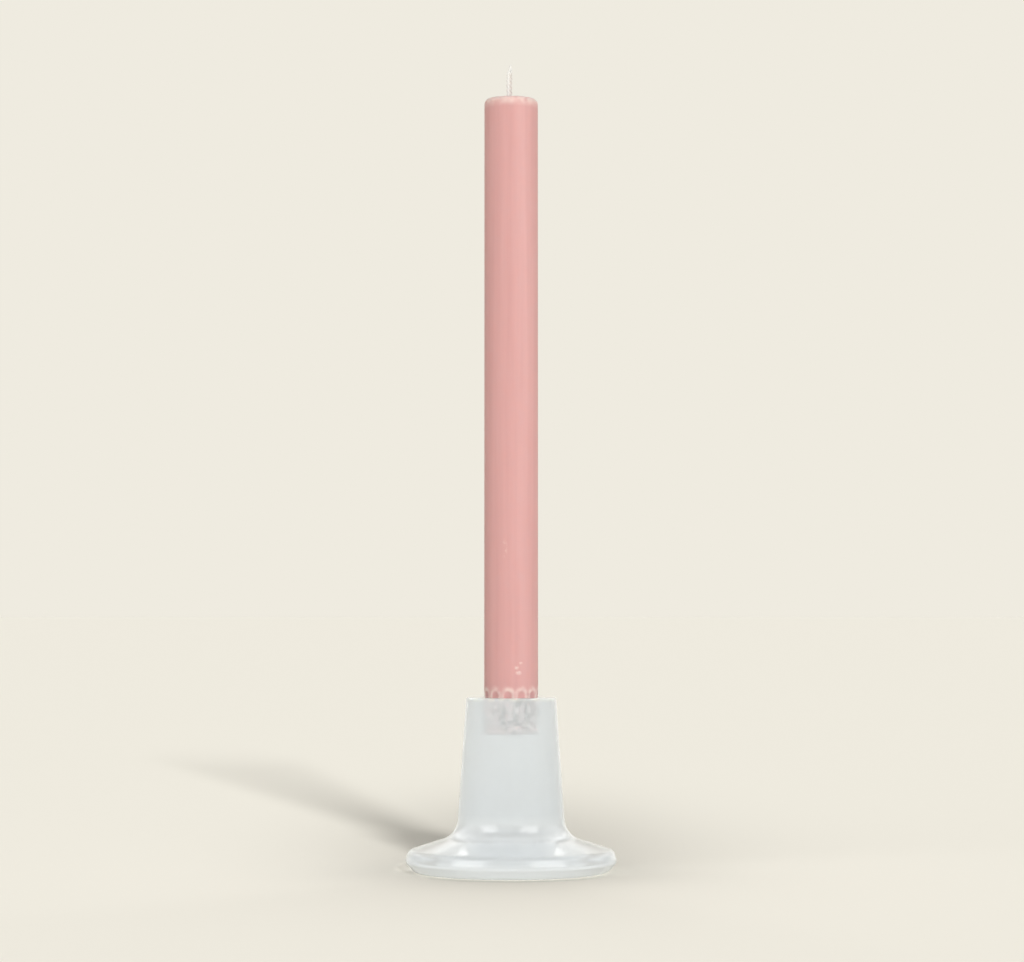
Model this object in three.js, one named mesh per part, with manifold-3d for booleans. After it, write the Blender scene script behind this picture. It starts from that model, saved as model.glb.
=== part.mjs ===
// Glass candlestick holding a dinner candle.
//
// A pressed-glass holder has a broad foot, a slightly tapered stem and a blind socket in its
// top. A wax candle stands in the socket on a tapered, fluted foot, and a flat braided wick
// runs through the whole candle and out of its top.
//
// Millimetres, +Z up. The origin is the centre of the resting plane, and everything turns
// around the Z axis.

import * as THREE from "three";
import { mergeVertices } from "three/addons/utils/BufferGeometryUtils.js";
import Module from "manifold-3d";

const wasm = await Module();
wasm.setup();

// Glass holder. Its outside is straight lines between rounded corners.
const HOLDER_HEIGHT = 71;
const RIM_RADIUS = 18.4;
const RIM_ROUND = 1;
const STEM_FOOT_RADIUS = 22.25;
const STEM_FOOT_HEIGHT = 15.1;
const STEM_FOOT_ROUND = 9;
const SHOULDER_RADIUS = 41.85;
const SHOULDER_HEIGHT = 8.8;
const SHOULDER_ROUND = 3.2;
const EDGE_RADIUS = 43.3;
const EDGE_HEIGHT = 4.4;
const EDGE_ROUND = 2;
const BASE_RADIUS = 39.5;
const BASE_ROUND = 4;

// Shallow recess under the foot, which leaves a flat ring to rest on.
const RECESS_DEPTH = 1.2;
const RECESS_ROOF_RADIUS = 28;
const RECESS_MOUTH_RADIUS = 30;
const RECESS_ROUND = 1;

// Blind socket, a little wider at its mouth than at its floor.
const SOCKET_DEPTH = 15;
const SOCKET_MOUTH_RADIUS = 11.15;
const SOCKET_MOUTH_ROUND = 0.8;
const SOCKET_FLOOR_RADIUS = 10.5;
const SOCKET_FLOOR_ROUND = 1;

// Candle. Its foot tapers into the socket, and a gap keeps it off the glass.
const TOUCHING_GAP = 0.3;
const CANDLE_TOP = 317.2;
const CANDLE_RADIUS = 11;
const CANDLE_DOME = 0.4;
const CANDLE_SHOULDER_ROUND = 2.1;
const CANDLE_FOOT_TOP = 74.1;
const CANDLE_FOOT_RADIUS = 10.15;
const CANDLE_FOOT_ROUND = 0.6;

// Flutes round the candle's foot: round-nosed grooves that follow its taper.
const FLUTE_COUNT = 12;
const FLUTE_RADIUS = 6;
const FLUTE_DEPTH = 0.55;
const FLUTE_RIDGE_ANGLE = THREE.MathUtils.degToRad(-82);

// Wick: a flat braid with rounded sides, in a bore that clears it.
const WICK_WIDTH = 2.4;
const WICK_THICKNESS = 1.5;
const WICK_TIP = 331.3;
const WICK_TIP_BEVEL = 0.35;
const WICK_BORE_RADIUS = WICK_WIDTH / 2 + TOUCHING_GAP;

// Fineness of the round stretches.
const TURN_SEGMENTS = 72;
const BORE_SEGMENTS = 24;
const FLUTE_SEGMENTS = 28;
const FLUTE_NOSE_SEGMENTS = 5;
const WICK_SIDE_SEGMENTS = 6;
const WICK_BEVEL_SEGMENTS = 2;
const ARC_STEP = THREE.MathUtils.degToRad(18);
const MERGE_TOLERANCE = 1e-4;

const SOCKET_FLOOR = HOLDER_HEIGHT - SOCKET_DEPTH;
const CANDLE_BOTTOM = SOCKET_FLOOR + TOUCHING_GAP;

const GLASS = new THREE.MeshStandardMaterial({
  color: 0xd6dcdf,
  roughness: 0.12,
  metalness: 0,
  transparent: true,
  opacity: 0.7,
});
const WAX = new THREE.MeshStandardMaterial({ color: 0xe2afa9, roughness: 0.5, metalness: 0 });
const COTTON = new THREE.MeshStandardMaterial({ color: 0xe9e4da, roughness: 0.95, metalness: 0 });

// The points of an arc that rounds the corner at `here` between its two neighbours.
function roundedCorner(before, here, after, radius) {
  const back = before.clone().sub(here).normalize();
  const ahead = after.clone().sub(here).normalize();
  const halfAngle = Math.acos(back.dot(ahead)) / 2;
  const inward = back.clone().add(ahead).normalize();
  const centre = here.clone().addScaledVector(inward, radius / Math.sin(halfAngle));
  const tangent = radius / Math.tan(halfAngle);
  const start = here.clone().addScaledVector(back, tangent).sub(centre);
  const turn = Math.PI - 2 * halfAngle;
  const side = Math.sign(start.cross(here.clone().sub(centre)));
  const steps = Math.ceil(turn / ARC_STEP);
  const points = [];
  for (let step = 0; step <= steps; step += 1) {
    const spoke = start.clone().rotateAround(new THREE.Vector2(), (side * turn * step) / steps);
    points.push(spoke.add(centre));
  }
  return points;
}

// An outline in the (radius, height) plane. Each corner is [radius, height] or, where it is
// rounded, [radius, height, rounding].
function roundedOutline(corners) {
  const places = corners.map(([radius, height]) => new THREE.Vector2(radius, height));
  return corners.flatMap(([, , rounding], index) => {
    if (!rounding) {
      return [places[index]];
    }
    return roundedCorner(places[index - 1], places[index], places[index + 1], rounding);
  });
}

// A solid of revolution about +Z.
function turned(outline, segments) {
  return new THREE.LatheGeometry(outline, segments).rotateX(Math.PI / 2);
}

function toSolid(geometry) {
  const bare = geometry.clone();
  bare.deleteAttribute("normal");
  bare.deleteAttribute("uv");
  const merged = mergeVertices(bare, MERGE_TOLERANCE);
  return new wasm.Manifold(
    new wasm.Mesh({
      numProp: 3,
      vertProperties: Float32Array.from(merged.attributes.position.array),
      triVerts: Uint32Array.from(merged.index.array),
    }),
  );
}

function toGeometry(solid) {
  const { vertProperties, triVerts } = solid.getMesh();
  const geometry = new THREE.BufferGeometry();
  geometry.setAttribute("position", new THREE.BufferAttribute(vertProperties, 3));
  geometry.setIndex(new THREE.BufferAttribute(triVerts, 1));
  geometry.computeVertexNormals();
  return geometry;
}

function named(name, geometry, material) {
  const mesh = new THREE.Mesh(geometry, material);
  mesh.name = name;
  return mesh;
}

// Foot, stem and socket in one piece of glass, from the recess's centre round to the socket's.
function glassHolder() {
  const outline = roundedOutline([
    [0, RECESS_DEPTH],
    [RECESS_ROOF_RADIUS, RECESS_DEPTH, RECESS_ROUND],
    [RECESS_MOUTH_RADIUS, 0],
    [BASE_RADIUS, 0, BASE_ROUND],
    [EDGE_RADIUS, EDGE_HEIGHT, EDGE_ROUND],
    [SHOULDER_RADIUS, SHOULDER_HEIGHT, SHOULDER_ROUND],
    [STEM_FOOT_RADIUS, STEM_FOOT_HEIGHT, STEM_FOOT_ROUND],
    [RIM_RADIUS, HOLDER_HEIGHT, RIM_ROUND],
    [SOCKET_MOUTH_RADIUS, HOLDER_HEIGHT, SOCKET_MOUTH_ROUND],
    [SOCKET_FLOOR_RADIUS, SOCKET_FLOOR, SOCKET_FLOOR_ROUND],
    [0, SOCKET_FLOOR],
  ]);
  return named("glass_holder", turned(outline, TURN_SEGMENTS), GLASS);
}

// The candle before its flutes and bore are cut.
function candleBlank() {
  const outline = roundedOutline([
    [0, CANDLE_BOTTOM],
    [CANDLE_FOOT_RADIUS, CANDLE_BOTTOM, CANDLE_FOOT_ROUND],
    [CANDLE_RADIUS, CANDLE_FOOT_TOP],
    [CANDLE_RADIUS, CANDLE_TOP - CANDLE_DOME, CANDLE_SHOULDER_ROUND],
    [0, CANDLE_TOP],
  ]);
  return toSolid(turned(outline, TURN_SEGMENTS));
}

// One round-nosed groove: it lies along the tapered foot and runs out past its end.
function fluteCutter(angle) {
  const footLength = CANDLE_FOOT_TOP - CANDLE_BOTTOM;
  const taper = Math.atan2(CANDLE_RADIUS - CANDLE_FOOT_RADIUS, footLength);
  const axisRadius = CANDLE_RADIUS + FLUTE_RADIUS - FLUTE_DEPTH;
  const noseRunOut = Math.sqrt(2 * FLUTE_RADIUS * FLUTE_DEPTH);
  const cutter = new THREE.CapsuleGeometry(
    FLUTE_RADIUS,
    2 * footLength,
    FLUTE_NOSE_SEGMENTS,
    FLUTE_SEGMENTS,
  );
  cutter.translate(0, -footLength, 0);
  cutter.rotateX(Math.PI / 2);
  cutter.rotateY(taper);
  cutter.translate(axisRadius, 0, CANDLE_FOOT_TOP - noseRunOut);
  cutter.rotateZ(angle);
  return toSolid(cutter);
}

function candleWax() {
  const bore = new THREE.CylinderGeometry(
    WICK_BORE_RADIUS,
    WICK_BORE_RADIUS,
    2 * CANDLE_TOP,
    BORE_SEGMENTS,
  );
  let wax = candleBlank().subtract(toSolid(bore.rotateX(Math.PI / 2)));
  const pitch = (2 * Math.PI) / FLUTE_COUNT;
  for (let flute = 0; flute < FLUTE_COUNT; flute += 1) {
    wax = wax.subtract(fluteCutter(FLUTE_RIDGE_ANGLE + pitch * (flute + 0.5)));
  }
  return named("candle_wax", toGeometry(wax), WAX);
}

// A flat strip with half-round sides, from the candle's bottom to the free tip.
function wick() {
  const sideRadius = WICK_THICKNESS / 2 - WICK_TIP_BEVEL;
  const sideCentre = WICK_WIDTH / 2 - WICK_THICKNESS / 2;
  const section = new THREE.Shape();
  section.absarc(sideCentre, 0, sideRadius, -Math.PI / 2, Math.PI / 2);
  section.absarc(-sideCentre, 0, sideRadius, Math.PI / 2, (3 * Math.PI) / 2);
  section.closePath();
  const strip = new THREE.ExtrudeGeometry(section, {
    depth: WICK_TIP - CANDLE_BOTTOM - 2 * WICK_TIP_BEVEL,
    bevelThickness: WICK_TIP_BEVEL,
    bevelSize: WICK_TIP_BEVEL,
    bevelSegments: WICK_BEVEL_SEGMENTS,
    curveSegments: WICK_SIDE_SEGMENTS,
  });
  const mesh = named("wick", strip, COTTON);
  mesh.position.z = CANDLE_BOTTOM + WICK_TIP_BEVEL;
  return mesh;
}

const candle = new THREE.Group();
candle.add(candleWax(), wick());

const candlestick = new THREE.Group();
candlestick.add(glassHolder(), candle);

export default candlestick;
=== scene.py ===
"""Glass candlestick: the looks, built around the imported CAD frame. Metres, +Z up.

The pressed-glass holder, the wax candle and its braided wick are each made again as a fine
mesh that stands for its CAD node.
"""

import math
import random

import bmesh
import bpy
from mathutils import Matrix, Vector, noise


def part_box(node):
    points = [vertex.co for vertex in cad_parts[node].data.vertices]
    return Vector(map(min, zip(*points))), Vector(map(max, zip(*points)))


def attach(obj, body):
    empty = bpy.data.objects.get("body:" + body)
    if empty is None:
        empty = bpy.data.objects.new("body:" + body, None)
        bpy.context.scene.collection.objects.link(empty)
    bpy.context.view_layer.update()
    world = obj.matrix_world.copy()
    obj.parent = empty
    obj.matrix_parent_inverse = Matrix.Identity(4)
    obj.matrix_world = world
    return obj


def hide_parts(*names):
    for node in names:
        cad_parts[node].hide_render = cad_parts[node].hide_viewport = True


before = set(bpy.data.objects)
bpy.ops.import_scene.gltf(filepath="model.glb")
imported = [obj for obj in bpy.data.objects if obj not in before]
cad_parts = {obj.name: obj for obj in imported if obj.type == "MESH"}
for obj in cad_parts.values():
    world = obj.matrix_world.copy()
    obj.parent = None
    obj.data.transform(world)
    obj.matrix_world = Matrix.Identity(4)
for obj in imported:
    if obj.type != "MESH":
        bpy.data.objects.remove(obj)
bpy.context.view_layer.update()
HOLDER_LOW, HOLDER_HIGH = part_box("glass_holder")
WAX_LOW, WAX_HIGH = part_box("candle_wax")
WICK_LOW, WICK_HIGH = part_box("wick")

MM = 0.001
NOTHING = 1e-6

# Glass holder: the outline's corners and how far each is rounded.
RIM_RADIUS = 18.4 * MM
RIM_ROUND = 1.0 * MM
STEM_FOOT_RADIUS = 22.25 * MM
STEM_FOOT_HEIGHT = 15.1 * MM
STEM_FOOT_ROUND = 9.0 * MM
SHOULDER_RADIUS = 41.85 * MM
SHOULDER_HEIGHT = 8.8 * MM
SHOULDER_ROUND = 3.2 * MM
EDGE_RADIUS = 43.3 * MM
EDGE_HEIGHT = 4.4 * MM
EDGE_ROUND = 2.0 * MM
BASE_RADIUS = 39.5 * MM
BASE_ROUND = 4.0 * MM
RECESS_DEPTH = 1.2 * MM
RECESS_ROOF_RADIUS = 28.0 * MM
RECESS_MOUTH_RADIUS = 30.0 * MM
RECESS_ROUND = 1.0 * MM
SOCKET_FLOOR = HOLDER_HIGH.z - 15.0 * MM
SOCKET_MOUTH_RADIUS = 11.15 * MM
SOCKET_MOUTH_ROUND = 0.8 * MM
SOCKET_FLOOR_RADIUS = 10.5 * MM
SOCKET_FLOOR_ROUND = 1.0 * MM

# The cloudy patch in the socket: its middle, and how far it reaches along each axis.
CLOUD_PLACE = (2.0 * MM, -11.0 * MM, 65.0 * MM)
CLOUD_REACH = (13.0 * MM, 18.0 * MM, 16.0 * MM)

# Candle: a straight shaft, a domed top and a tapered foot with round-nosed flutes.
SHAFT_RADIUS = WAX_HIGH.x
CANDLE_DOME = 0.4 * MM
CANDLE_SHOULDER_ROUND = 2.1 * MM
CANDLE_FOOT_TOP = 74.1 * MM
CANDLE_FOOT_RADIUS = 10.15 * MM
CANDLE_FOOT_ROUND = 0.6 * MM
FOOT_TAPER = (SHAFT_RADIUS - CANDLE_FOOT_RADIUS) / (CANDLE_FOOT_TOP - WAX_LOW.z)
FLUTE_COUNT = 12
FLUTE_RADIUS = 6.0 * MM
FLUTE_DEPTH = 0.55 * MM
FLUTE_NOSE = CANDLE_FOOT_TOP - math.sqrt(2 * FLUTE_RADIUS * FLUTE_DEPTH)
FLUTE_RIDGE_ANGLE = math.radians(-82)

# The wax climbs the wick a little, and its top is rough. Grains are in bumps per metre.
MENISCUS_HEIGHT = 0.7 * MM
MENISCUS_REACH = 0.5 * MM
TOP_ROUGHNESS = 0.22 * MM
TOP_GRAIN = 420

# Where the wax is paler: rubbed pale in patches on the lips of the flutes, and with painted light
# in patches at the very top. It also has a few chips and a scuff, each with its middle and its
# reach along each axis.
LIP_OFFSET = 0.1 * MM
LIP_WIDTH = 0.65 * MM
LIP_DEPTH = 0.16 * MM
LIP_WEAR = 0.25
TOP_LIGHT = 0.5
TOP_LIGHT_RISE = 1.5
TOP_LIGHT_REACH = 2.2 * CANDLE_SHOULDER_ROUND
WEAR_AND_LIGHT_GRAIN = 600
WEAR_AND_LIGHT_EVEN = 0.5
WEAR_AND_LIGHT_PATCHY = 0.7
CHIPS = (
    ((2.2 * MM, -10.8 * MM, 83.2 * MM), (1.3 * MM, 1.3 * MM, 1.1 * MM)),
    ((3.0 * MM, -10.6 * MM, 81.1 * MM), (1.8 * MM, 1.8 * MM, 1.2 * MM)),
    ((3.9 * MM, -10.3 * MM, 85.1 * MM), (1.0 * MM, 1.0 * MM, 0.7 * MM)),
)
SCUFF_PLACE = (-2.7 * MM, -10.7 * MM, 131.5 * MM)
SCUFF_REACH = (1.6 * MM, 1.6 * MM, 4.5 * MM)

# Wick: three strands in a flat braid round a core. It leans a little near the top of the wax,
# and its last few millimetres are loose fibres.
HALF_WIDTH = WICK_HIGH.x
HALF_THICKNESS = WICK_HIGH.y
STRANDS = 3
PLIES = 4
PLY_RADIUS = 0.2 * MM
PLY_OFFSET = 0.22 * MM
BRAID_PITCH = 6.0 * MM
PLY_PITCH = 2.2 * MM
BRAID_TOP = WICK_HIGH.z - 3.3 * MM
WICK_LEAN = -0.7 * MM
LEAN_LENGTH = 14.0 * MM
CORE_WIDTH = 0.8 * HALF_WIDTH
CORE_THICKNESS = 0.6 * HALF_THICKNESS

# Loose fibres: how far below the braid's end each starts, how far it bends, in millimetres, and
# which part of the way to the wick's tip it reaches. Those far to the left are shorter. Each
# wobbles on its way, and they start spread over the braid and gather towards the middle.
FIBRES = 36
FIBRE_SEED = 4
FIBRE_RADIUS = 0.11 * MM
FIBRE_ROOTS = (0.2, 1.4)
FIBRE_BENDS = (0.1, 0.6)
FIBRE_PARTS = (0.6, 0.75, 0.9, 1.0)
FIBRE_WOBBLE = 0.08 * MM
FIBRE_WAVE = 5
FIBRE_SPREAD = 0.95
FIBRE_GATHERING = 0.7
FIBRE_DEPTH = 0.5 * HALF_THICKNESS
DEPTH_GATHERING = 0.5
LONG_SIDE = -0.35
SHORT_PART = 0.5

# The darker colour down the wick's right side: how fast it deepens across, how much of it is on
# the middle, and how far below the braid's end it is full.
DARKENING_RISE = 2
DARKENING_MIDDLE = 0.6
DARKENING_FADE = 1.0 * MM

# Fineness of the meshes.
TURN_SEGMENTS = 288
ARC_STEP = math.radians(5)
GLASS_STEP = 1.5 * MM
FLUTES_STEP = 0.35 * MM
FLUTES_MARGIN = 3.0 * MM
SHAFT_STEP = 0.8 * MM
BORE_STEP = 2.0 * MM
PLY_STEP = 0.25 * MM
CORE_STEP = 4 * PLY_STEP
FIBRE_STEP = 0.3 * MM
PLY_SIDES = 6
CORE_SIDES = 16

# Colours. The glass changes with height, given as a part of the holder's height: painted light
# makes it paler under the foot's edge and where the stem meets the foot, painted shade makes it
# darker on the slope between them, and it keeps its clear tone up the stem.
CLEAR_GLASS = (0.69, 0.725, 0.75, 1)
GLASS_PAINTED_LIGHT = (0.80, 0.83, 0.85, 1)
GLASS_PAINTED_SHADE = (0.63, 0.665, 0.69, 1)
GLASS_LIGHT_AND_SHADE = (
    (0.065, GLASS_PAINTED_LIGHT),
    (0.095, GLASS_PAINTED_SHADE),
    (0.17, GLASS_PAINTED_SHADE),
    (0.215, GLASS_PAINTED_LIGHT),
    (0.27, GLASS_PAINTED_LIGHT),
    (0.34, CLEAR_GLASS),
)
HAZY_GLASS = (0.78, 0.81, 0.83, 1)
RIM_HIGHLIGHT = (0.92, 0.95, 0.84, 1)
SOCKET_PALE = (0.80, 0.83, 0.82, 1)
SOCKET_DARK = (0.30, 0.34, 0.33, 1)
WAX_DEEP = (0.69, 0.372, 0.36, 1)
WAX_LIGHT = (0.73, 0.405, 0.392, 1)
WAX_BLOOM = (0.78, 0.48, 0.462, 1)
WAX_WORN_AND_LIT = (0.85, 0.635, 0.595, 1)
COTTON_SHADED = (0.89, 0.88, 0.85, 1)
COTTON_CLEAN = (0.98, 0.975, 0.95, 1)
COTTON_DARKER_SIDE = (0.77, 0.73, 0.69, 1)
BLACK = (0, 0, 0, 1)

# How the body of the glass bends light, and the part of the light that it lets through.
GLASS_IOR = 1.12
GLASS_CLEARNESS = 0.5


def clamped(value):
    return min(1.0, max(0.0, value))


# ---------------------------------------------------------------- outlines

def rounded_corner(before, here, after, radius):
    """The points of an arc that rounds the corner at here."""
    back = (before - here).normalized()
    ahead = (after - here).normalized()
    half = back.angle(ahead) / 2
    centre = here + (back + ahead).normalized() * (radius / math.sin(half))
    first = here + back * (radius / math.tan(half)) - centre
    last = here + ahead * (radius / math.tan(half)) - centre
    turn = first.angle(last)
    steps = math.ceil(turn / ARC_STEP)
    points = []
    for step in range(steps + 1):
        part = step / steps
        weights = (math.sin((1 - part) * turn), math.sin(part * turn))
        points.append(centre + (first * weights[0] + last * weights[1]) / math.sin(turn))
    return points


def rounded_outline(corners):
    """An outline in (radius, height) through the corners. A third number rounds a corner."""
    places = [Vector(corner[:2]) for corner in corners]
    outline = []
    for index, corner in enumerate(corners):
        if len(corner) == 3:
            outline += rounded_corner(*places[index - 1:index + 2], corner[2])
        else:
            outline.append(places[index])
    return outline


def subdivided(outline, longest):
    """The outline with its long straight stretches cut into short ones."""
    fine = [outline[0]]
    for start, end in zip(outline, outline[1:]):
        steps = max(1, math.ceil((end - start).length / longest))
        fine += [start.lerp(end, step / steps) for step in range(1, steps + 1)]
    return fine


# ---------------------------------------------------------------- mesh building

def in_scene(name, data):
    """A new object for this data, put into the scene."""
    item = bpy.data.objects.new(name, data)
    bpy.context.scene.collection.objects.link(item)
    return item


def piece_of(name, mesh):
    """A new object made of a bmesh, which is then freed."""
    data = bpy.data.meshes.new(name)
    mesh.to_mesh(data)
    mesh.free()
    return in_scene(name, data)


def ring_of(mesh, radius, height, place):
    """One ring of vertices, or a single one on the axis."""
    if radius < NOTHING:
        return [mesh.verts.new((0, 0, height))]
    angles = [math.tau * turn / TURN_SEGMENTS for turn in range(TURN_SEGMENTS)]
    return [mesh.verts.new(place(radius, height, angle)) for angle in angles]


def turned_place(radius, height, angle):
    return (radius * math.cos(angle), radius * math.sin(angle), height)


def join_rings(mesh, lower, upper, slot=0):
    """Faces between two rings of vertices. Either ring may be a single vertex."""
    count = max(len(lower), len(upper))
    for turn in range(count):
        after = (turn + 1) % count
        corners = [lower[turn % len(lower)], lower[after % len(lower)],
                   upper[after % len(upper)], upper[turn % len(upper)]]
        face = mesh.faces.new(list(dict.fromkeys(corners)))
        face.smooth = True
        face.material_index = slot


def revolved(name, outline, place=turned_place, slot_of=lambda lower, upper: 0):
    """A closed solid of revolution about Z. place may move each point off the plain circle."""
    mesh = bmesh.new()
    rings = [ring_of(mesh, point.x, point.y, place) for point in outline]
    for index in range(len(outline) - 1):
        slot = slot_of(outline[index], outline[index + 1])
        join_rings(mesh, rings[index], rings[index + 1], slot)
    bmesh.ops.recalc_face_normals(mesh, faces=mesh.faces)
    return piece_of(name, mesh)


def weld(piece):
    """Joins the two ends of a revolved outline that closes on itself."""
    mesh = bmesh.new()
    mesh.from_mesh(piece.data)
    bmesh.ops.remove_doubles(mesh, verts=mesh.verts, dist=NOTHING)
    bmesh.ops.recalc_face_normals(mesh, faces=mesh.faces)
    mesh.to_mesh(piece.data)
    mesh.free()


def add_tube(mesh, line, across, deep, sides=PLY_SIDES):
    """A closed oval tube along a line that runs mostly upwards."""
    turns = [math.tau * side / sides for side in range(sides)]
    oval = [Vector((across * math.cos(turn), deep * math.sin(turn), 0)) for turn in turns]
    rings = [[mesh.verts.new(point + spoke) for spoke in oval] for point in line]
    for lower, upper in zip(rings, rings[1:]):
        join_rings(mesh, lower, upper)
    mesh.faces.new(list(reversed(rings[0])))
    mesh.faces.new(rings[-1])


def mark(piece, name, value_at):
    """Stores a value for each point of the mesh, which the material then reads."""
    values = piece.data.attributes.new(name, "FLOAT", "POINT")
    for vertex in piece.data.vertices:
        values.data[vertex.index].value = value_at(vertex.co)


# ---------------------------------------------------------------- shader helpers

class Shader:
    """A material with a Principled shader, and short ways to add nodes to it."""

    def __init__(self, name):
        self.material = bpy.data.materials.new(name)
        self.material.use_nodes = True
        self.tree = self.material.node_tree
        self.surface = self.tree.nodes["Principled BSDF"]
        self.coordinates = self.add("ShaderNodeTexCoord").outputs["Object"]

    def add(self, kind, **settings):
        node = self.tree.nodes.new(kind)
        for key, value in settings.items():
            setattr(node, key, value)
        return node

    def link(self, source, target):
        self.tree.links.new(source, target)

    def link_or_set(self, value, socket):
        """Feeds an input from another node's output, or gives it a plain value."""
        if isinstance(value, bpy.types.NodeSocket):
            self.link(value, socket)
        else:
            socket.default_value = value

    def set_values(self, **values):
        for key, value in values.items():
            self.surface.inputs[key.replace("_", " ")].default_value = value

    def axis(self, name):
        """One coordinate of the place on the object."""
        split = self.add("ShaderNodeSeparateXYZ")
        self.link(self.coordinates, split.inputs["Vector"])
        return split.outputs[name]

    def length(self, vector):
        node = self.add("ShaderNodeVectorMath", operation="LENGTH")
        self.link(vector, node.inputs[0])
        return node.outputs["Value"]

    def attribute(self, name):
        return self.add("ShaderNodeAttribute", attribute_name=name).outputs["Fac"]

    def noise(self, scale, detail=4.0, roughness=0.5, stretch=(1, 1, 1)):
        """Noise from 0 to 1, with about this many lumps to the metre."""
        mapping = self.add("ShaderNodeMapping")
        mapping.inputs["Scale"].default_value = stretch
        self.link(self.coordinates, mapping.inputs["Vector"])
        texture = self.add("ShaderNodeTexNoise")
        texture.inputs["Scale"].default_value = scale
        texture.inputs["Detail"].default_value = detail
        texture.inputs["Roughness"].default_value = roughness
        self.link(mapping.outputs["Vector"], texture.inputs["Vector"])
        return texture.outputs["Fac"]

    def near(self, place, reach, full_part=0.3):
        """1 round a place on the object, out to full_part of its reach along each axis, and
        falling to 0 at its reach."""
        mapping = self.add("ShaderNodeMapping")
        mapping.inputs["Scale"].default_value = [1 / size for size in reach]
        mapping.inputs["Location"].default_value = [-at / size for at, size in zip(place, reach)]
        self.link(self.coordinates, mapping.inputs["Vector"])
        return self.smooth(self.length(mapping.outputs["Vector"]), 1.0, full_part)

    def smooth(self, source, start, full):
        """0 where source is at start, rising smoothly to 1 where it is at full."""
        node = self.add("ShaderNodeMapRange", interpolation_type="SMOOTHSTEP")
        node.inputs["From Min"].default_value = start
        node.inputs["From Max"].default_value = full
        self.link(source, node.inputs["Value"])
        return node.outputs["Result"]

    def span(self, source, low, high):
        """source, from 0 to 1, spread from low to high."""
        node = self.add("ShaderNodeMapRange")
        node.inputs["To Min"].default_value = low
        node.inputs["To Max"].default_value = high
        self.link(source, node.inputs["Value"])
        return node.outputs["Result"]

    def ramp(self, source, *stops):
        """A colour ramp from (position, colour) stops."""
        node = self.add("ShaderNodeValToRGB")
        elements = node.color_ramp.elements
        for index, (position, colour) in enumerate(stops):
            element = elements[index] if index < 2 else elements.new(position)
            element.position = position
            element.color = colour
        self.link(source, node.inputs["Fac"])
        return node.outputs["Color"]

    def mix(self, factor, first, second):
        """The first colour at factor 0, the second at factor 1."""
        node = self.add("ShaderNodeMix", data_type="RGBA")
        for value, socket in ((factor, 0), (first, 6), (second, 7)):
            self.link_or_set(value, node.inputs[socket])
        return node.outputs[2]

    def calculate(self, operation, first, second, clamp=False):
        node = self.add("ShaderNodeMath", operation=operation, use_clamp=clamp)
        for value, socket in zip((first, second), node.inputs):
            self.link_or_set(value, socket)
        return node.outputs["Value"]

    def calculate_part(self, operation, first, second):
        """The result of an operation on two values, kept between 0 and 1."""
        return self.calculate(operation, first, second, clamp=True)

    def square(self, value):
        return self.calculate("MULTIPLY", value, value)

    def bell(self, square, depth):
        """depth at 0, falling away as a bell curve; square is the distance squared."""
        return self.calculate("MULTIPLY", self.calculate("POWER", math.exp(-1), square), depth)

    def bump(self, source, strength, distance):
        node = self.add("ShaderNodeBump")
        node.inputs["Strength"].default_value = strength
        node.inputs["Distance"].default_value = distance
        self.link(source, node.inputs["Height"])
        self.link(node.outputs["Normal"], self.surface.inputs["Normal"])


# ---------------------------------------------------------------- glass holder

def glass_material():
    """Pressed glass with a faint milkiness, a fire-polished skin, painted light and shade by
    height and a painted highlight round the rim.
    """
    shader = Shader("milky pressed glass")
    shader.set_values(Roughness=0.28, IOR=GLASS_IOR, Transmission_Weight=GLASS_CLEARNESS,
                      Coat_Weight=1.0, Coat_Roughness=0.15, Coat_IOR=1.5)
    height = shader.axis("Z")
    # Painted light and shade by height: paler under the foot's edge and where the stem meets the
    # foot, darker on the slope between them.
    painted_tone = shader.ramp(shader.calculate("DIVIDE", height, HOLDER_HIGH.z), *GLASS_LIGHT_AND_SHADE)
    haze = shader.span(shader.noise(45, detail=2), 0, 0.3)
    hazy = shader.mix(haze, painted_tone, HAZY_GLASS)
    # A pale painted highlight in patches round the rim's top.
    rim = shader.smooth(height, HOLDER_HIGH.z - 2 * RIM_ROUND, HOLDER_HIGH.z)
    mottle = shader.span(shader.noise(300, detail=3), -1.0, 1.9)
    colour = shader.mix(shader.calculate_part("MULTIPLY", rim, mottle), hazy, RIM_HIGHLIGHT)
    shader.link(colour, shader.surface.inputs["Base Color"])
    shader.bump(shader.noise(70, detail=2), 0.12, 0.4 * MM)
    return shader.material


def socket_material():
    """The socket's ground wall: matt, mottled and a little grey."""
    shader = Shader("ground glass socket")
    shader.set_values(Roughness=0.5, IOR=GLASS_IOR, Transmission_Weight=GLASS_CLEARNESS)
    mottle = shader.noise(400, detail=5, roughness=0.65)
    clouded = shader.ramp(mottle, (0.42, SOCKET_DARK), (0.57, SOCKET_PALE))
    cloud = shader.span(shader.near(CLOUD_PLACE, CLOUD_REACH), 0.2, 1.0)
    colour = shader.mix(cloud, SOCKET_PALE, clouded)
    shader.link(colour, shader.surface.inputs["Base Color"])
    shader.bump(mottle, 0.3, 0.2 * MM)
    return shader.material


def socket_slot(lower, upper):
    """The second material slot for the socket below its rounded mouth, the first elsewhere."""
    middle = (lower + upper) / 2
    inside = middle.x < SOCKET_MOUTH_RADIUS
    above_floor = middle.y > SOCKET_FLOOR - NOTHING
    below_mouth = middle.y < HOLDER_HIGH.z - SOCKET_MOUTH_ROUND
    return int(inside and above_floor and below_mouth)


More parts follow.
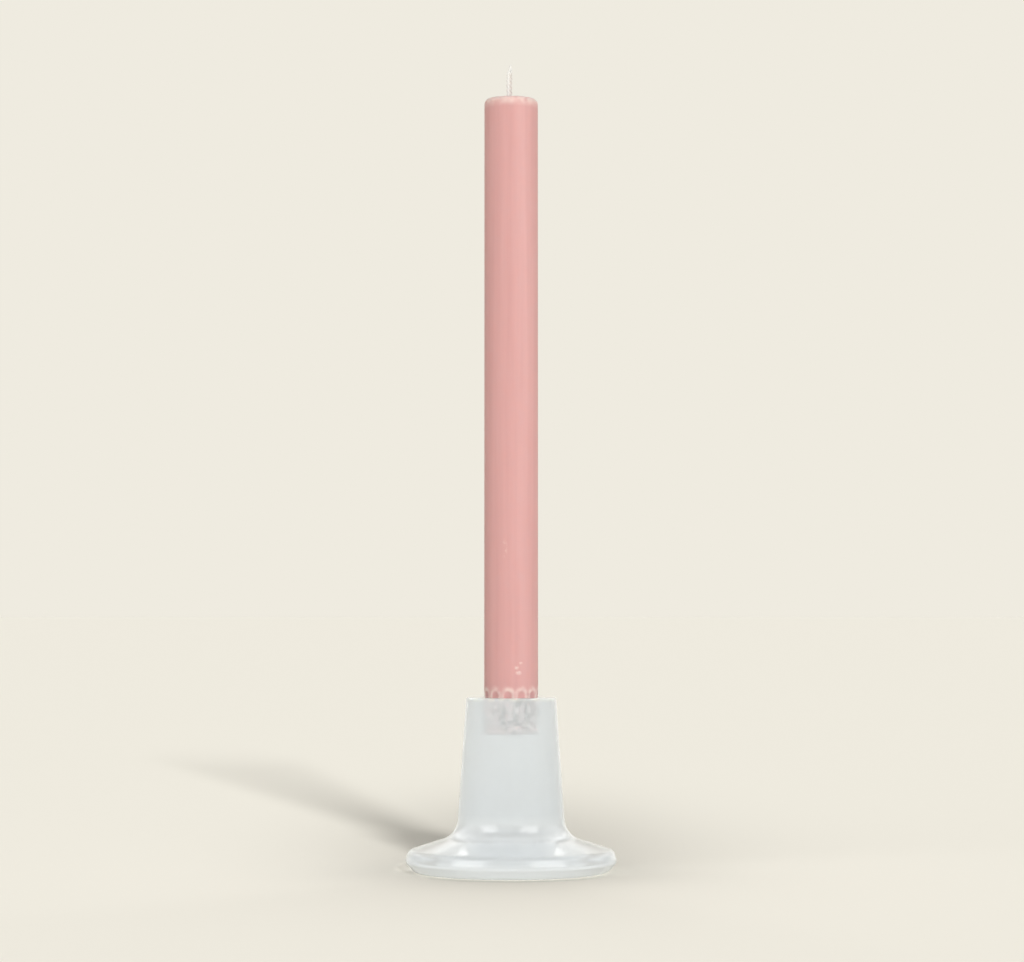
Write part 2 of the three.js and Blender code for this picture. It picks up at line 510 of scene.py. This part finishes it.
def glass_holder():
    outline = rounded_outline([
        (0, RECESS_DEPTH),
        (RECESS_ROOF_RADIUS, RECESS_DEPTH, RECESS_ROUND),
        (RECESS_MOUTH_RADIUS, HOLDER_LOW.z),
        (BASE_RADIUS, HOLDER_LOW.z, BASE_ROUND),
        (EDGE_RADIUS, EDGE_HEIGHT, EDGE_ROUND),
        (SHOULDER_RADIUS, SHOULDER_HEIGHT, SHOULDER_ROUND),
        (STEM_FOOT_RADIUS, STEM_FOOT_HEIGHT, STEM_FOOT_ROUND),
        (RIM_RADIUS, HOLDER_HIGH.z, RIM_ROUND),
        (SOCKET_MOUTH_RADIUS, HOLDER_HIGH.z, SOCKET_MOUTH_ROUND),
        (SOCKET_FLOOR_RADIUS, SOCKET_FLOOR, SOCKET_FLOOR_ROUND),
        (0, SOCKET_FLOOR),
    ])
    piece = revolved("holder_glass", subdivided(outline, GLASS_STEP), slot_of=socket_slot)
    piece.data.materials.append(glass_material())
    piece.data.materials.append(socket_material())
    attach(piece, "holder")
    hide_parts("glass_holder")


# ---------------------------------------------------------------- candle

def wax_material():
    """Pink candle wax: satin, faintly streaked along its length, pale where it is rubbed and with
    painted light on its top.
    """
    shader = Shader("pink wax")
    shader.set_values(Roughness=0.48, IOR=1.44, Specular_IOR_Level=0.2, Subsurface_Weight=0.25,
                      Subsurface_Scale=2.0 * MM, Subsurface_Radius=(1.0, 0.55, 0.45))
    streak = shader.noise(420, detail=3, stretch=(1, 1, 0.03))
    bloom = shader.noise(90, detail=4)
    torn = shader.smooth(shader.noise(430, detail=2), 0.5, 0.6)
    chips = 0.0
    for place, reach in CHIPS:
        chips = shader.calculate_part("ADD", chips, shader.near(place, reach))
    ragged = shader.span(shader.noise(1700, detail=2), -0.5, 1.7)
    chips = shader.calculate_part("MULTIPLY", chips, ragged)
    scuff = shader.calculate_part("MULTIPLY", shader.near(SCUFF_PLACE, SCUFF_REACH), torn)
    marks = shader.calculate_part("ADD", chips, shader.calculate_part("MULTIPLY", scuff, 0.4))
    base = shader.ramp(streak, (0.3, WAX_DEEP), (0.7, WAX_LIGHT))
    clouded = shader.mix(shader.span(bloom, 0.0, 0.16), base, WAX_BLOOM)
    # Rubbed lips, chips and a scuff, with painted light on the top.
    rubbed_and_lit = shader.calculate_part("ADD", shader.attribute("wear_and_top_light"), marks)
    colour = shader.mix(rubbed_and_lit, clouded, WAX_WORN_AND_LIT)
    shader.link(colour, shader.surface.inputs["Base Color"])
    shader.link(shader.span(bloom, 0.4, 0.56), shader.surface.inputs["Roughness"])
    grain = shader.noise(700, detail=3, stretch=(1, 1, 0.12))
    relief = shader.calculate_part("ADD", shader.calculate_part("MULTIPLY", grain, 0.3),
                                   shader.calculate_part("MULTIPLY", marks, 0.6))
    shader.bump(relief, 0.5, 0.15 * MM)
    return shader.material


def plain_radius(height):
    """How far out the candle reaches at this height before its flutes are cut."""
    return SHAFT_RADIUS - FOOT_TAPER * max(0.0, CANDLE_FOOT_TOP - height)


def flute_angle(angle):
    """The angle from the middle of the nearest flute."""
    pitch = math.tau / FLUTE_COUNT
    return (angle - FLUTE_RIDGE_ANGLE) % pitch - pitch / 2


def flute_axis(height):
    """Where the cutter that made the flutes has its axis at this height, and how far above its
    round nose's centre the height is."""
    inward = FOOT_TAPER * (FLUTE_NOSE - min(height, FLUTE_NOSE))
    return SHAFT_RADIUS + FLUTE_RADIUS - FLUTE_DEPTH - inward, max(0.0, height - FLUTE_NOSE)


def fluted_radius(radius, height, angle):
    """How far out the wax reaches where round-nosed grooves are cut along the tapered foot."""
    axis, above = flute_axis(height)
    if above >= FLUTE_RADIUS:
        return radius
    cutter = math.sqrt(FLUTE_RADIUS ** 2 - above ** 2)
    across = axis * math.sin(flute_angle(angle))
    if abs(across) >= cutter:
        return radius
    return min(radius, axis * math.cos(flute_angle(angle)) - math.sqrt(cutter ** 2 - across ** 2))


def wick_lean(height):
    """How far the wick, and the wax round it, stands off the axis at this height."""
    part = clamped((height - WAX_HIGH.z + LEAN_LENGTH) / LEAN_LENGTH)
    return WICK_LEAN * part * part * (3 - 2 * part)


def candle_place(radius, height, angle):
    """Where a point of the plain turned candle goes: into a flute, on to the edge of the wick's
    oval hole, up the wick, or to one side with it."""
    out = fluted_radius(radius, height, angle)
    if radius < HALF_WIDTH + NOTHING:
        flat = math.hypot(HALF_THICKNESS * math.cos(angle), HALF_WIDTH * math.sin(angle))
        out = HALF_WIDTH * HALF_THICKNESS / flat
    x = out * math.cos(angle)
    y = out * math.sin(angle)
    near_wick = math.exp(-(radius - HALF_WIDTH) / MENISCUS_REACH)
    near_top = max(0.0, 1 - (WAX_HIGH.z - height) / (2 * CANDLE_SHOULDER_ROUND))
    height += near_top * TOP_ROUGHNESS * noise.noise(Vector((x, y, 0)) * TOP_GRAIN)
    height += near_top * MENISCUS_HEIGHT * near_wick
    return (x + wick_lean(height) * max(0.0, 1 - radius / SHAFT_RADIUS), y, height)


def candle_outline():
    """From the wick's hole at the bottom, round the outside and back down the hole."""
    fluted_to = CANDLE_FOOT_TOP + FLUTES_MARGIN
    foot = rounded_outline([
        (HALF_WIDTH, WAX_LOW.z),
        (CANDLE_FOOT_RADIUS, WAX_LOW.z, CANDLE_FOOT_ROUND),
        (SHAFT_RADIUS, CANDLE_FOOT_TOP),
        (SHAFT_RADIUS, fluted_to),
    ])
    body = rounded_outline([
        (SHAFT_RADIUS, fluted_to),
        (SHAFT_RADIUS, WAX_HIGH.z - CANDLE_DOME, CANDLE_SHOULDER_ROUND),
        (HALF_WIDTH, WAX_HIGH.z),
    ])
    hole = [Vector((HALF_WIDTH, WAX_HIGH.z)), Vector((HALF_WIDTH, WAX_LOW.z))]
    return (subdivided(foot, FLUTES_STEP) + subdivided(body, SHAFT_STEP)[1:]
            + subdivided(hole, BORE_STEP)[1:])


def wear_and_top_light_at(point):
    """0 for plain wax, up to 1 where it is paler: rubbed pale round each flute, and with painted
    light at the very top.
    """
    angle = flute_angle(math.atan2(point.y, point.x))
    radius = math.hypot(point.x, point.y)
    axis, above = flute_axis(point.z)
    away = Vector((axis - radius * math.cos(angle), radius * math.sin(angle), above)).length
    off_lip = (away - FLUTE_RADIUS - LIP_OFFSET) / LIP_WIDTH
    cut = max(0.0, (plain_radius(point.z) - radius) / LIP_DEPTH)
    lip = math.exp(-off_lip ** 2 - cut ** 2)
    # Painted light on the candle's top shoulder.
    top = clamped(TOP_LIGHT_RISE * (1 - (WAX_HIGH.z - point.z) / TOP_LIGHT_REACH))
    patchy = WEAR_AND_LIGHT_EVEN + WEAR_AND_LIGHT_PATCHY * noise.noise(point * WEAR_AND_LIGHT_GRAIN)
    return min(1.0, lip * max(0.0, patchy + LIP_WEAR) + top * (patchy + TOP_LIGHT))


def candle_wax():
    piece = revolved("candle_body", candle_outline(), place=candle_place)
    weld(piece)
    mark(piece, "wear_and_top_light", wear_and_top_light_at)
    piece.data.materials.append(wax_material())
    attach(piece, "candle")
    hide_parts("candle_wax")


# ---------------------------------------------------------------- wick

def cotton_material():
    """Bleached cotton yarn, faintly uneven and darker down one side."""
    shader = Shader("braided cotton")
    shader.set_values(Roughness=0.95, Sheen_Weight=0.3, Sheen_Roughness=0.5)
    clean = shader.ramp(shader.noise(2200, detail=3), (0.3, COTTON_SHADED), (0.7, COTTON_CLEAN))
    colour = shader.mix(shader.attribute("right_side_darkening"), clean, COTTON_DARKER_SIDE)
    shader.link(colour, shader.surface.inputs["Base Color"])
    shader.bump(shader.noise(9000, detail=2, stretch=(1, 1, 0.3)), 0.5, 0.05 * MM)
    return shader.material


def braid_heights(longest):
    """Even heights from the wick's bottom to the braid's end."""
    length = BRAID_TOP - WICK_LOW.z
    steps = math.ceil(length / longest)
    return [WICK_LOW.z + length * step / steps for step in range(steps + 1)]


def ply_line(strand, ply):
    """The middle line of one ply: round its strand, which weaves through the braid."""
    reach = HALF_WIDTH - PLY_OFFSET - PLY_RADIUS
    lift = HALF_THICKNESS - PLY_OFFSET - PLY_RADIUS
    line = []
    for height in braid_heights(PLY_STEP):
        braid = math.tau * (height / BRAID_PITCH + strand / STRANDS)
        twist = math.tau * (height / PLY_PITCH + ply / PLIES)
        line.append(Vector((
            wick_lean(height) + reach * math.sin(braid) + PLY_OFFSET * math.cos(twist),
            lift * math.sin(2 * braid) + PLY_OFFSET * math.sin(twist),
            height,
        )))
    return line


def core_line():
    """The plain core inside the braid."""
    return [Vector((wick_lean(height), 0, height)) for height in braid_heights(CORE_STEP)]


def fibre_line(dice):
    """One loose fibre. It leaves the braid's end and wanders up to its own height."""
    foot = BRAID_TOP - dice.uniform(*FIBRE_ROOTS) * MM
    side = dice.uniform(-1, 1)
    tallest = 1.0 if side > LONG_SIDE else SHORT_PART
    tip = foot + (WICK_HIGH.z - foot) * tallest * dice.choice(FIBRE_PARTS)
    bend = dice.uniform(*FIBRE_BENDS) * MM
    sway = dice.uniform(0, math.tau)
    steps = math.ceil((tip - foot) / FIBRE_STEP)
    line = []
    for step in range(steps + 1):
        part = step / steps
        wobble = FIBRE_WOBBLE * math.sin(sway + FIBRE_WAVE * part)
        width = side * HALF_WIDTH * (FIBRE_SPREAD - FIBRE_GATHERING * part)
        line.append(Vector((
            WICK_LEAN + width + bend * part * part + wobble,
            FIBRE_DEPTH * math.sin(sway) * (1 - DEPTH_GATHERING * part) + wobble,
            foot + (tip - foot) * part,
        )))
    return line


def right_side_darkening_at(point):
    """0 for the plain cotton colour, up to 1 down the wick's right side below the loose fibres.
    """
    side = (point.x - wick_lean(point.z)) / HALF_WIDTH
    return clamped(DARKENING_RISE * side + DARKENING_MIDDLE) * clamped((BRAID_TOP - point.z) / DARKENING_FADE)


def wick():
    dice = random.Random(FIBRE_SEED)
    mesh = bmesh.new()
    add_tube(mesh, core_line(), CORE_WIDTH, CORE_THICKNESS, sides=CORE_SIDES)
    for strand in range(STRANDS):
        for ply in range(PLIES):
            add_tube(mesh, ply_line(strand, ply), PLY_RADIUS, PLY_RADIUS)
    for _ in range(FIBRES):
        add_tube(mesh, fibre_line(dice), FIBRE_RADIUS, FIBRE_RADIUS)
    piece = piece_of("wick_braid", mesh)
    mark(piece, "right_side_darkening", right_side_darkening_at)
    piece.data.materials.append(cotton_material())
    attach(piece, "candle")
    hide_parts("wick")


# ---------------------------------------------------------------- floor and backdrop

FLOOR_RADIUS = 60.0
FLOOR_SIDES = 96
FLOOR_COLOUR = (0.9, 0.868, 0.778, 1.0)
BACKDROP_COLOUR = (0.863, 0.831, 0.745, 1.0)
SKY_STRENGTH = 0.1

# The soft painted shade that the foot stands in: its middle, its reach to the sides, to the front
# and to the back, and its depth.
SHADE_MIDDLE = 90 * MM
SHADE_SIDE = 75 * MM
SHADE_FRONT = 175 * MM
SHADE_BACK = 360 * MM
SHADE_DEPTH = 0.3

# A closer, rounder painted shade that starts under the foot's edge.
CLOSE_START = 32 * MM
CLOSE_FULL = 41 * MM
CLOSE_REACH = 52 * MM
CLOSE_DEPTH = 0.34

# The narrow painted contact shadow where the foot meets the floor: its reach along X and Y, and
# its width as a part of that. It starts behind the middle and grows from there towards the front.
CONTACT_REACH = (41.5 * MM, 43.5 * MM)
CONTACT_WIDTH = 0.1
CONTACT_DEPTH = 0.18
CONTACT_START = 41 * MM
CONTACT_GROWTH = 90 * MM

# A place at the foot's left end that has no painted shade, for the light that real glass would
# let into its own shadow.
GLEAM_PLACE = (-43 * MM, 24 * MM, 0)
GLEAM_REACH = (6.5 * MM, 30 * MM, 6.5 * MM)


def broad_shade(shader):
    """A wide shade that reaches further to the back than to the front."""
    past = shader.calculate("SUBTRACT", shader.axis("Y"), SHADE_MIDDLE)
    along = shader.calculate("MAXIMUM", shader.calculate("DIVIDE", past, SHADE_BACK),
                             shader.calculate("DIVIDE", past, -SHADE_FRONT))
    across = shader.calculate("DIVIDE", shader.axis("X"), SHADE_SIDE)
    square = shader.calculate("ADD", shader.square(along), shader.square(across))
    return shader.bell(square, SHADE_DEPTH)


def close_shade(shader):
    """A round shade close to the foot."""
    radius = shader.length(shader.coordinates)
    part = shader.calculate("DIVIDE", radius, CLOSE_REACH)
    shade = shader.bell(shader.square(part), CLOSE_DEPTH)
    return shader.calculate("MULTIPLY", shade, shader.smooth(radius, CLOSE_START, CLOSE_FULL))


def contact_shadow(shader):
    """A narrow painted contact shadow round the foot, deepest in front."""
    across = shader.calculate("DIVIDE", shader.axis("X"), CONTACT_REACH[0])
    along = shader.calculate("DIVIDE", shader.axis("Y"), CONTACT_REACH[1])
    square = shader.calculate("ADD", shader.square(across), shader.square(along))
    past = shader.calculate("SUBTRACT", shader.calculate("SQRT", square, 0), 1)
    off = shader.calculate("DIVIDE", past, CONTACT_WIDTH)
    line = shader.bell(shader.square(off), CONTACT_DEPTH)
    ahead = shader.calculate("SUBTRACT", CONTACT_START, shader.axis("Y"))
    return shader.calculate("MULTIPLY", line,
                            shader.calculate_part("DIVIDE", ahead, CONTACT_GROWTH))


def floor_material():
    """A matt pale floor with the foot's soft shade painted on it."""
    shader = Shader("pale floor")
    shader.set_values(Roughness=0.9, Specular_IOR_Level=0.0)
    shade = shader.calculate("ADD", broad_shade(shader),
                             shader.calculate("ADD", close_shade(shader), contact_shadow(shader)))
    gleam = shader.near(GLEAM_PLACE, GLEAM_REACH)
    shade = shader.calculate("MULTIPLY", shade, shader.span(gleam, 1, 0))
    shader.link(shader.mix(shade, FLOOR_COLOUR, BLACK), shader.surface.inputs["Base Color"])
    return shader.material


def floor():
    mesh = bmesh.new()
    bmesh.ops.create_circle(mesh, cap_ends=True, radius=FLOOR_RADIUS, segments=FLOOR_SIDES)
    piece = piece_of("floor", mesh)
    piece.data.materials.append(floor_material())


def backdrop():
    """An even pale backdrop, which itself gives only a little light."""
    world = bpy.data.worlds.new("studio")
    bpy.context.scene.world = world
    world.use_nodes = True
    tree = world.node_tree
    background = tree.nodes["Background"]
    background.inputs["Color"].default_value = BACKDROP_COLOUR
    rays = tree.nodes.new("ShaderNodeLightPath")
    strength = tree.nodes.new("ShaderNodeMapRange")
    strength.inputs["To Min"].default_value = 1.0
    strength.inputs["To Max"].default_value = SKY_STRENGTH
    tree.links.new(rays.outputs["Is Diffuse Ray"], strength.inputs["Value"])
    tree.links.new(strength.outputs["Result"], background.inputs["Strength"])


# ---------------------------------------------------------------- lamps and camera

FLOOR = ("floor",)
HOLDER = ("holder_glass",)
WAX = ("candle_body",)
CANDLE = ("candle_body", "wick_braid")

# Suns: direction, strength, spread in degrees, the pieces that each lights and the pieces that
# stop its light. The floor, the candle and the glass each have their own set, which keeps the
# cast shadows deep without flattening or burning the pieces.
SUNS = {
    "floor key": ((194, -861, 300), 3.75, 6.5, FLOOR, CANDLE + HOLDER),
    "floor front": ((-60, -100, 75), 1.35, 55, FLOOR, CANDLE),
    "floor back": ((20, 100, 75), 1.35, 55, FLOOR, CANDLE),
    "candle key": ((230, -861, 300), 1.5, 12, CANDLE, CANDLE + HOLDER),
    "candle dome": ((0, -15, 100), 1.15, 170, CANDLE, CANDLE + HOLDER),
    "glass key": ((230, -861, 300), 1.05, 12, HOLDER, FLOOR),
    "glass dome": ((0, -15, 100), 1.1, 170, HOLDER, FLOOR),
    "glass left": ((-100, -45, 40), 0.7, 60, HOLDER, FLOOR),
    "glass right": ((100, -45, 40), 0.5, 60, HOLDER, FLOOR),
}

# Soft boxes, seen only as highlights: azimuth from the camera's side towards +X, height angle,
# width and height in degrees, brightness and the pieces that show them.
SOFT_BOXES = {
    "left box": (-51, 31, 34, 34, 4.0, HOLDER),
    "right box": (44, 34, 34, 34, 3.8, HOLDER),
    "back left box": (-172.8, 33, 3.5, 5, 6.5, HOLDER),
    "back right box": (172.8, 33, 3.5, 5, 6.5, HOLDER),
    "back left high box": (-156, 44, 15, 8, 1.0, HOLDER),
    "back right high box": (151, 46, 28, 10, 1.8, HOLDER),
    "back left low box": (-171, 24, 12, 9, 0.7, HOLDER),
    "back right low box": (171, 24, 12, 9, 0.45, HOLDER),
    "left side box": (-100, 32, 40, 40, 1.3, HOLDER),
    "right side box": (100, 32, 40, 40, 1.4, HOLDER),
    "left shoulder box": (-134, 30, 28, 24, 1.4, HOLDER),
    "right shoulder box": (134, 30, 28, 24, 1.1, HOLDER),
    "left edge panel": (-155, 8, 30, 50, 0.2, HOLDER),
    "right edge panel": (155, 8, 30, 50, 0.3, HOLDER),
    "candle sheen": (50, 8, 40, 60, 6.5, WAX),
}
BOX_DISTANCE = 1.5

CAMERA_DISTANCE = 1.2
CAMERA_HEIGHT = 0.1058
CAMERA_AIM = Vector((0.00035, 0, 0.1594))
CAMERA_LENS = 103.05
CAMERA_NEAREST = 0.01
CAMERA_FURTHEST = 200


def group_of(name, pieces):
    group = bpy.data.collections.new(name)
    for piece in pieces:
        group.objects.link(bpy.data.objects[piece])
    return group


def sun(name, direction, strength, spread, lit, shading):
    """A sun that lights only some pieces, and whose light only some pieces stop."""
    data = bpy.data.lights.new(name, "SUN")
    data.energy = strength
    data.angle = math.radians(spread)
    lamp = in_scene(name, data)
    lamp.rotation_euler = Vector(direction).to_track_quat("Z", "Y").to_euler()
    lamp.visible_glossy = False
    lamp.light_linking.receiver_collection = group_of(f"{name} lights", lit)
    lamp.light_linking.blocker_collection = group_of(f"{name} shadows", shading)


def soft_box(name, azimuth, elevation, width, height, brightness, lit):
    """A rectangular light that only shows as a highlight."""
    around = math.radians(azimuth)
    up = math.radians(elevation)
    direction = Vector((math.sin(around) * math.cos(up), -math.cos(around) * math.cos(up),
                        math.sin(up)))
    data = bpy.data.lights.new(name, "AREA")
    data.shape = "RECTANGLE"
    data.size = 2 * BOX_DISTANCE * math.tan(math.radians(width / 2))
    data.size_y = 2 * BOX_DISTANCE * math.tan(math.radians(height / 2))
    data.energy = brightness * math.pi * data.size * data.size_y
    lamp = in_scene(name, data)
    lamp.location = direction * BOX_DISTANCE
    lamp.rotation_euler = direction.to_track_quat("Z", "Y").to_euler()
    lamp.visible_camera = False
    lamp.visible_diffuse = False
    lamp.visible_transmission = False
    lamp.light_linking.receiver_collection = group_of(f"{name} lights", lit)


def lighting():
    for name, measures in SUNS.items():
        sun(name, *measures)
    for name, measures in SOFT_BOXES.items():
        soft_box(name, *measures)


def camera():
    data = bpy.data.cameras.new("camera")
    data.lens = CAMERA_LENS
    data.clip_start = CAMERA_NEAREST
    data.clip_end = CAMERA_FURTHEST
    eye = in_scene("camera", data)
    eye.location = (0, -CAMERA_DISTANCE, CAMERA_HEIGHT)
    eye.rotation_euler = (CAMERA_AIM - eye.location).to_track_quat("-Z", "Y").to_euler()
    bpy.context.scene.camera = eye


camera()
backdrop()
floor()
glass_holder()
candle_wax()
wick()
lighting()
bpy.context.scene.view_settings.view_transform = "Standard"
